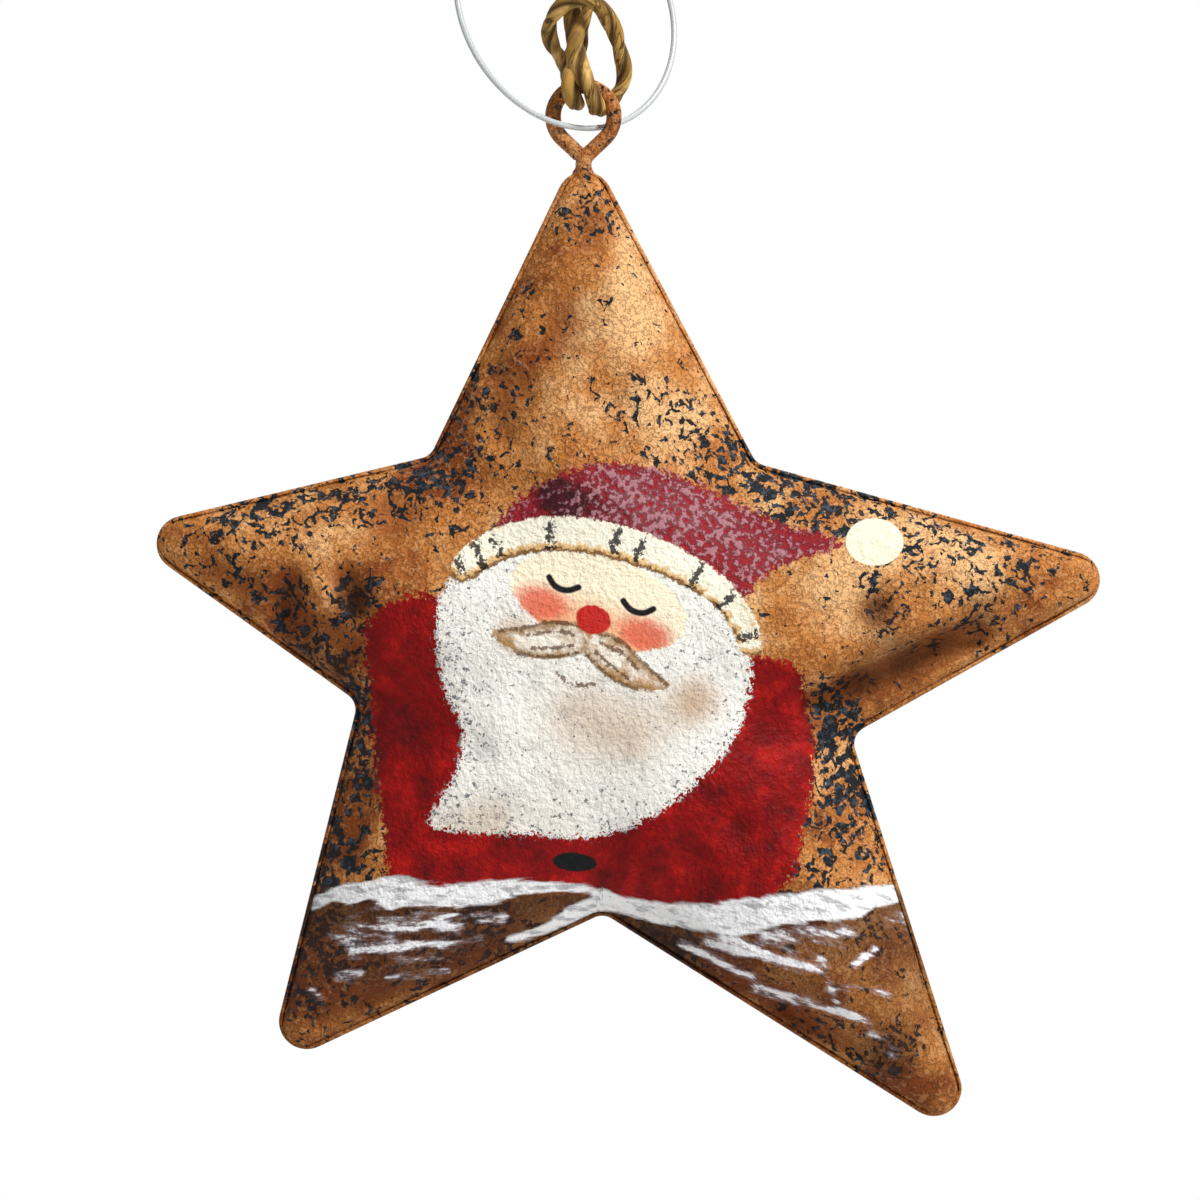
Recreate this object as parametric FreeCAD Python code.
import FreeCAD, Part
import math
import os

from FreeCAD import Vector

# A hanging star of painted tinplate: two pressed half shells joined by a folded hem, a wire eye
# soldered into the top point, a paper cord tied through the eye and a clear tag loop beside it.
# Millimetres and degrees. +Z is up, the painted face looks along -Y and +X is to the viewer's right.
# The origin is the top of the cord loop, where a twig or a hook carries the ornament.

# Outline of the star, cut by hand: each point has its own reach and its own direction.
tip_reach = 54.6
corner_reach = 25.5
tip_reach_shares = (0.947, 1.010, 1.152, 0.979, 0.910)
tip_directions = (91.8, 8.7, -52.4, -128.7, -194.4)
corner_reach_shares = (0.969, 1.034, 1.016, 0.967, 1.023)
corner_directions = (50.7, -17.9, -89.2, -168.8, -229.5)
tip_round = 2.8
corner_round = 1.8

# Tinplate and its folded hem: the back sheet's edge turns over the front sheet's flange.
sheet = 0.3
hem_width = 0.7
hem_slack = 0.05
flange_width = 0.95

# Relief of the two half shells: sections of the outline drawn in towards the star's centre.
front_crown = 7.0
back_crown = 5.6
crown_steps = 14
hollow_steps = 7
crown_top_share = 0.08
crown_tip_round = 2.0
crown_tip_round_gain = 5.0
crown_corner_round = 3.3
crown_corner_round_gain = 8.0
crown_fullness = 2.3
crown_steepness = 1.5
tip_chord_count = 4
corner_chord_count = 3

# Wire eye, bent from one wire into a ring whose end rests beside its own neck.
wire_diameter = 1.6
wire_side_count = 14
ring_radius = 3.05
neck_drop = 4.2
neck_bend = 1.3
tail_length = 8.0
eye_above_star = 5.5

# Solder that fixes the wire between the two sheets.
solder_radius = 1.2
solder_above_tip = 0.4
solder_length = 3.2
solder_radius_shares = (0.85, 1.0, 0.97, 0.85)
solder_depth_shares = (0.13, 0.35, 0.7, 1.0)
wire_gap = 0.05

# Paper cord: strand, knot and tails. A bend takes up its share of the shorter run beside it.
cord_diameter = 1.7
cord_side_count = 8
bend_share = 0.45
hang_drop = 58.0
hinge_above_eye = 30.0
strand_spread = 6.0
hinge_gap = 0.3
knot_above_loop = 3.0
knot_radius = 2.7
knot_height = 4.6
knot_width_shares = (0.72, 0.93, 1.0, 0.93, 0.72)
knot_up_shares = (0.0, 0.2, 0.5, 0.8, 1.0)
strand_gap = 0.1
strand_out_shares = (1.0, 1.02, 0.93, 0.62, 0.2)
strand_up_shares = (0.0, 0.2, 0.42, 0.66, 0.84)
tail_end_length = 7.5
tail_end_spread = 2.2
tail_bend_share = 0.3

# Clear nylon tag loop, a ring whose two ends meet in a small moulded lock.
nylon_diameter = 0.6
nylon_side_count = 6
tag_radius = 12.7
tag_turn = 32.0
tag_lean = 15.0
tag_drop = 1.15
lock_length = 4.4
lock_width = 2.4
lock_depth = 1.8
lock_round = 0.5

# Length by which a cutting solid runs past what it cuts.
overrun = 0.5

eye = Vector(0, 0, -hang_drop)
wire_radius = wire_diameter / 2
cord_radius = cord_diameter / 2
nylon_radius = nylon_diameter / 2
strand_beside = cord_radius + strand_gap / 2
FRONT = -1
BACK = 1
LEFT = -1
RIGHT = 1


def polar(reach, direction):
    """A point of the star's plane, from the star's centre."""
    angle = math.radians(direction)
    return Vector(reach * math.cos(angle), 0, reach * math.sin(angle))


def star_centre():
    """The star's centre, which puts its rounded top point right below the eye."""
    return eye - Vector(outline_points()[0].x, 0, eye_above_star + top_rise())


def outline_points():
    """The sharp points and inner corners of the star, in turn, clockwise from the top point."""
    points = []
    for number in range(len(tip_directions)):
        points.append(polar(tip_reach * tip_reach_shares[number], tip_directions[number]))
        reach = corner_reach * corner_reach_shares[number]
        points.append(polar(reach, corner_directions[number]))
    return points


def inset_points(inset):
    """The outline drawn in by one width all the way round."""
    points = outline_points()
    moved = []
    for number, point in enumerate(points):
        along_in = (point - points[number - 1]).normalize()
        along_out = (points[(number + 1) % len(points)] - point).normalize()
        inward_in = Vector(along_in.z, 0, -along_in.x)
        inward_out = Vector(along_out.z, 0, -along_out.x)
        middle = inward_in + inward_out
        moved.append(point + middle * (2 * inset / middle.dot(middle)))
    return moved


def corner_arcs(points, tip_radius, corner_radius):
    """The arc that rounds each point of an outline: its start, middle, end and centre."""
    arcs = []
    for number, point in enumerate(points):
        radius = tip_radius if number % 2 == 0 else corner_radius
        along_in = (point - points[number - 1]).normalize()
        along_out = (points[(number + 1) % len(points)] - point).normalize()
        half_turn = along_in.getAngle(along_out) / 2
        back = radius * math.tan(half_turn)
        middle = (along_out - along_in).normalize()
        centre = point + middle * (radius / math.cos(half_turn))
        arcs.append((point - along_in * back, centre - middle * radius, point + along_out * back, centre))
    return arcs


def rim_wire(inset, height):
    """The outline drawn in by a width, with arcs that stay parallel to the outer ones."""
    arcs = corner_arcs(inset_points(inset), tip_round - inset, corner_round + inset)
    edges = []
    for number, (start, middle, end, centre) in enumerate(arcs):
        edges.append(Part.Arc(start, middle, end).toShape())
        following = arcs[(number + 1) % len(arcs)]
        edges.append(Part.LineSegment(end, following[0]).toShape())
    wire = Part.Wire(edges)
    wire.translate(star_centre() + Vector(0, height, 0))
    return wire


def plate(inset, low, high):
    """A flat star of sheet between two heights."""
    return Part.Face(rim_wire(inset, low)).extrude(Vector(0, high - low, 0))


def crown_share(scale):
    """Height of the relief as a share of the crown, at a scale of the outline."""
    return (1 - scale ** crown_fullness) ** (1 / crown_steepness)


def crown_section(inset, scale, height):
    """Corners of one section of the relief, whose arcs are short chords at equal turns."""
    tip_arc = (crown_tip_round + crown_tip_round_gain * (1 - scale)) * scale
    corner_arc = (crown_corner_round + crown_corner_round_gain * (1 - scale)) * scale
    outline = [point * scale for point in inset_points(inset)]
    corners = []
    for number, (start, middle, end, centre) in enumerate(corner_arcs(outline, tip_arc, corner_arc)):
        chords = tip_chord_count if number % 2 == 0 else corner_chord_count
        turn = (start - centre).getAngle(end - centre)
        for chord in range(chords + 1):
            here = turn * chord / chords
            spoke = (start - centre) * math.sin(turn - here) + (end - centre) * math.sin(here)
            corners.append(centre + spoke * (1 / math.sin(turn)) + star_centre() + Vector(0, height, 0))
    return corners


def crown_solid(side, crown, depth, steps):
    """A raised star of flat facets between sections, from the flange to the top of the crown.

    depth is zero for the outer skin, and one sheet for the inner one.
    """
    rise = (crown - sheet) / crown_share(crown_top_share)
    sections = []
    for step in range(steps + 1):
        scale = math.cos(step / steps * math.acos(crown_top_share))
        height = side * (sheet - depth + rise * crown_share(scale))
        sections.append(crown_section(flange_width + depth, scale, height))
    faces = []
    for closing in (sections[0], sections[-1]):
        faces.append(Part.Face(Part.makePolygon(closing + closing[:1])))
    for lower, upper in zip(sections, sections[1:]):
        for number in range(len(lower)):
            facet = [lower[number - 1], lower[number], upper[number], upper[number - 1], lower[number - 1]]
            faces.append(Part.Face(Part.makePolygon(facet)))
    solid = Part.Solid(Part.Shell(faces))
    if solid.Volume < 0:
        solid.reverse()
    return solid


def raised_shell(side, crown):
    """The pressed relief of one half, and the hollow behind it, open at the joint plane."""
    outer = crown_solid(side, crown, 0, crown_steps)
    inner = crown_solid(side, crown, sheet, hollow_steps)
    foot = crown_section(flange_width + sheet, 1, 0)
    mouth = Part.Face(Part.makePolygon(foot + foot[:1])).extrude(Vector(0, -side * overrun, 0))
    return outer, inner.fuse(mouth)


def solder_shape():
    """Solder run down the wire from just above the star's top point into the hollow."""
    top = solder_top()
    length = solder_length
    profile = [Vector(wire_radius, 0, top)]
    for width, depth in zip(solder_radius_shares, solder_depth_shares):
        profile.append(Vector(solder_radius * width, 0, top - length * depth))
    profile.append(Vector(0, 0, top - length))
    profile.append(Vector(0, 0, top))
    face = Part.Face(Part.makePolygon(profile + profile[:1]))
    return face.revolve(Vector(0, 0, 0), Vector(0, 0, 1), 360)


def top_rise():
    """Height of the rounded top point above the star's centre."""
    tip = outline_points()[0]
    corner_after = outline_points()[1]
    corner_before = outline_points()[-1]
    half_angle = (corner_after - tip).getAngle(corner_before - tip) / 2
    return tip.z - tip_round / math.sin(half_angle) + tip_round


def top_point():
    """The height of the star's rounded top point."""
    return eye.z - eye_above_star


def solder_top():
    """The height at which the solder starts on the wire."""
    return top_point() + solder_above_tip


def wire_way():
    """The groove that both sheets leave for the wire's tail, with the solder round it."""
    foot = top_point() - tail_length - wire_gap
    groove = Part.makeCylinder(wire_radius + wire_gap, solder_top() - foot, Vector(0, 0, foot))
    return groove.fuse(solder_shape())


def build_front_shell():
    """Front sheet: flange and crowned relief."""
    outer, inner = raised_shell(FRONT, front_crown)
    flange = plate(sheet + hem_slack, -sheet, 0)
    return flange.fuse(outer).cut(inner).cut(wire_way())


def build_back_shell():
    """Back sheet: flange, relief and the hem folded over the front flange."""
    outer, inner = raised_shell(BACK, back_crown)
    lip_high = -sheet - hem_slack
    lip_low = lip_high - sheet
    rim = plate(0, lip_low, sheet)
    front_seat = plate(sheet, lip_high, 0)
    lip_window = plate(hem_width, lip_low - overrun, lip_high)
    flange = rim.cut(front_seat.fuse(lip_window))
    return flange.fuse(outer).cut(inner).cut(wire_way())


def rounded_path(points, report=""):
    """A wire of straight runs joined by tangent arcs, each as large as its two runs allow."""
    edges = []
    here = points[0]
    found = []
    for number in range(1, len(points) - 1):
        before = points[number] - points[number - 1]
        after = points[number + 1] - points[number]
        half_turn = before.getAngle(after) / 2
        back = bend_share * min(before.Length, after.Length)
        radius = back / math.tan(half_turn)
        found.append(radius)
        before = before.normalize()
        after = after.normalize()
        start = points[number] - before * back
        end = points[number] + after * back
        middle = (after - before).normalize()
        top = points[number] + middle * (radius / math.cos(half_turn) - radius)
        edges.append(Part.LineSegment(here, start).toShape())
        edges.append(Part.Arc(start, top, end).toShape())
        here = end
    edges.append(Part.LineSegment(here, points[-1]).toShape())
    if report:
        print(report, "arc radii", [round(radius, 1) for radius in found])
    return Part.Wire(edges)


def tube_along(path, radius, sides, report=""):
    """A tube of many flat sides along a wire, with its volume set against section times length."""
    first = path.Edges[0]
    start = first.valueAt(first.FirstParameter)
    along = first.tangentAt(first.FirstParameter)
    across = along.cross(Vector(0, 1, 0)).normalize()
    turn = 360 / sides
    ring = []
    for side in range(sides + 1):
        spoke = FreeCAD.Rotation(along, turn * (side + 0.5)).multVec(across)
        ring.append(start + spoke * radius)
    tube = path.makePipeShell([Part.makePolygon(ring)], True, False)
    if report:
        area = sides / 2 * radius * radius * math.sin(math.radians(turn))
        expected = area * path.Length
        share = tube.Volume / expected
        print(report, "length", round(path.Length, 1), "volume share", round(share, 4))
    return tube


def build_wire_eye():
    """One wire: a tail in the star, a neck, and a ring whose end rests beside the neck."""
    tangent = math.acos(ring_radius / neck_drop)
    right = -math.pi / 2 + tangent
    left = 3 * math.pi / 2 - tangent
    on_right = eye + Vector(ring_radius * math.cos(right), 0, ring_radius * math.sin(right))
    on_left = eye + Vector(ring_radius * math.cos(left), 0, ring_radius * math.sin(left))
    on_top = eye + Vector(0, 0, ring_radius)
    neck = eye - Vector(0, 0, neck_drop)
    tail = Vector(neck.x, 0, top_point() - tail_length)
    down = (neck - on_right).normalize()
    half_turn = down.getAngle(Vector(0, 0, -1)) / 2
    back = neck_bend * math.tan(half_turn)
    bend_start = neck - down * back
    bend_end = neck - Vector(0, 0, back)
    middle = (Vector(0, 0, -1) - down).normalize()
    bend_top = neck + middle * (neck_bend / math.cos(half_turn) - neck_bend)
    along_left = (neck - on_left).normalize()
    across = Vector(down.z, 0, -down.x).normalize()
    start_offset = abs((on_left - on_right).dot(across))
    closing = abs(along_left.dot(across))
    clear = wire_radius + wire_gap + wire_radius * math.sqrt(1 - closing * closing)
    leg_length = (start_offset - clear) / closing
    leg_end = on_left + along_left * leg_length
    edges = [
        Part.LineSegment(tail, bend_end).toShape(),
        Part.Arc(bend_end, bend_top, bend_start).toShape(),
        Part.LineSegment(bend_start, on_right).toShape(),
        Part.Arc(on_right, on_top, on_left).toShape(),
        Part.LineSegment(on_left, leg_end).toShape(),
    ]
    return tube_along(Part.Wire(edges), wire_radius, wire_side_count, "wire eye")


def build_solder_bead():
    """Solder round the wire, with the wire's own way through it."""
    return solder_shape().cut(build_wire_eye())


# Route of the tied cord, from the left strand's bend, down through the eye, back up behind the ring,
# over the front of both strands as an arch, down behind them, through the eye again and up to the
# right strand's bend. Points are from the eye's centre: right, back and up.
hitch_route = (
    (-5.6, 0.0, 24.0),
    (-3.8, -0.2, 18.4),
    (-1.8, -0.6, 14.2),
    (-0.9, -1.1, 9.8),
    (-0.8, -2.0, 5.4),
    (0.3, -2.35, 2.7),
    (0.95, -1.5, 0.6),
    (0.95, 0.2, 0.15),
    (1.5, 1.75, 0.7),
    (3.2, 2.35, 1.9),
    (4.3, 1.9, 4.2),
    (3.6, 0.4, 6.8),
    (2.8, -1.6, 9.4),
    (1.1, -3.0, 11.4),
    (-1.5, -3.2, 11.5),
    (-3.4, -2.0, 9.6),
    (-3.5, 0.2, 7.6),
    (-2.1, 1.9, 5.8),
    (-1.0, 2.4, 3.6),
    (-0.9, 1.7, 1.3),
    (-0.9, 0.0, 0.5),
    (-1.3, -1.7, 1.0),
    (-1.75, -2.1, 3.2),
    (-1.2, -0.7, 5.4),
    (-0.3, 0.25, 7.6),
    (0.1, 0.5, 11.2),
    (1.6, 0.3, 15.0),
    (3.8, 0.1, 18.8),
    (5.6, 0.0, 24.0),
)


def hitch_end(side):
    """Where the lower cord starts, one running gap below the rounded end of its upper strand."""
    height = hinge_above_eye - cord_radius - hinge_gap
    return eye + Vector(side * strand_spread, 0, height)


def build_cord_hitch():
    """The cord below its bend: one unbroken tube through the eye and round itself."""
    points = [hitch_end(LEFT)]
    points.extend(eye + Vector(*place) for place in hitch_route)
    points.append(hitch_end(RIGHT))
    return tube_along(rounded_path(points, report="cord hitch"), cord_radius, cord_side_count, "cord hitch")


def build_cord_strands():
    """The two strands above the bend, each rounded off where it turns on the lower cord."""
    bend = eye.z + hinge_above_eye
    height = knot_above_loop - bend
    strands = []
    for side in (LEFT, RIGHT):
        points = []
        for out, up in zip(strand_out_shares, strand_up_shares):
            points.append(Vector(side * max(strand_spread * out, strand_beside), 0, bend + height * up))
        points[-1].x = side * strand_beside
        points.append(Vector(side * strand_beside, 0, knot_above_loop))
        label = "left strand" if side == LEFT else "right strand"
        tube = tube_along(rounded_path(points, report=label), cord_radius, cord_side_count, label)
        end = Part.makeSphere(cord_radius, points[0], Vector(0, 0, 1), -90, 0)
        strands.append(tube.fuse(end))
    return Part.makeCompound(strands)


def build_cord_knot():
    """The overhand knot that closes the loop, and the two short tails above it."""
    foot = knot_above_loop
    top = foot + knot_height
    profile = [Vector(0, 0, foot)]
    for wide, up in zip(knot_width_shares, knot_up_shares):
        profile.append(Vector(knot_radius * wide, 0, foot + knot_height * up))
    profile.append(Vector(0, 0, top))
    face = Part.Face(Part.makePolygon(profile + profile[:1]))
    knot = face.revolve(Vector(0, 0, 0), Vector(0, 0, 1), 360)
    for direction in (LEFT, RIGHT):
        points = [
            Vector(direction * strand_beside, 0, top - cord_radius),
            Vector(direction * strand_beside, 0, top + tail_end_length * tail_bend_share),
            Vector(direction * tail_end_spread, 0, top + tail_end_length),
        ]
        knot = knot.fuse(tube_along(rounded_path(points), cord_radius, cord_side_count))
    return knot.removeSplitter()


def tag_frame():
    """The tag loop's foot in the eye, its direction there, and its direction up."""
    turn = math.radians(tag_turn)
    lean = math.radians(tag_lean)
    along = Vector(math.cos(turn), math.sin(turn), 0)
    behind = Vector(-math.sin(turn), math.cos(turn), 0)
    upward = Vector(0, 0, 1) * math.cos(lean) + behind * math.sin(lean)
    return eye - Vector(0, 0, tag_drop), along, upward


def build_tag_filament():
    """A round of nylon through the eye, open only where its ends enter the lock."""
    foot, along, upward = tag_frame()
    centre = foot + upward * tag_radius
    half_gap = math.asin(lock_length / 2 / tag_radius)
    ends = []
    for side in (LEFT, RIGHT):
        sideways = along * (side * tag_radius * math.sin(half_gap))
        ends.append(centre + sideways + upward * (tag_radius * math.cos(half_gap)))
    arc = Part.Arc(ends[0], foot, ends[1]).toShape()
    return tube_along(Part.Wire(arc), nylon_radius, nylon_side_count, "tag filament")


def build_tag_lock():
    """The moulded lock, lying along the loop where the two ends meet."""
    foot, along, upward = tag_frame()
    half_gap = math.asin(lock_length / 2 / tag_radius)
    middle = foot + upward * (tag_radius + tag_radius * math.cos(half_gap))
    lock = Part.makeBox(lock_length, lock_depth, lock_width)
    lock.translate(Vector(-lock_length / 2, -lock_depth / 2, -lock_width / 2))
    long_edges = [edge for edge in lock.Edges if edge.BoundBox.XLength > lock_length / 2]
    lock = lock.makeFillet(lock_round, long_edges)
    behind = upward.cross(along)
    turn = FreeCAD.Rotation(along, behind, upward, "ZXY")
    lock.Placement = FreeCAD.Placement(middle, turn)
    return lock.cut(build_tag_filament())


def save(shape, node):
    """Write one node and say what it holds."""
    shape.exportStep(os.path.join("parts", node + ".step"))
    box = shape.BoundBox
    size = [round(length, 2) for length in (box.XLength, box.YLength, box.ZLength)]
    print(node, "solids", len(shape.Solids), "valid", shape.isValid(),
          "volume", round(shape.Volume, 1), "size", size)


def main():
    """Build every piece and write it."""
    os.makedirs("parts", exist_ok=True)
    save(build_front_shell(), "front_shell")
    save(build_back_shell(), "back_shell")
    save(build_wire_eye(), "wire_eye")
    save(build_solder_bead(), "solder_bead")
    save(build_cord_hitch(), "cord_hitch")
    save(build_cord_strands(), "cord_strands")
    save(build_cord_knot(), "cord_knot")
    save(build_tag_filament(), "tag_filament")
    save(build_tag_lock(), "tag_lock")


main()
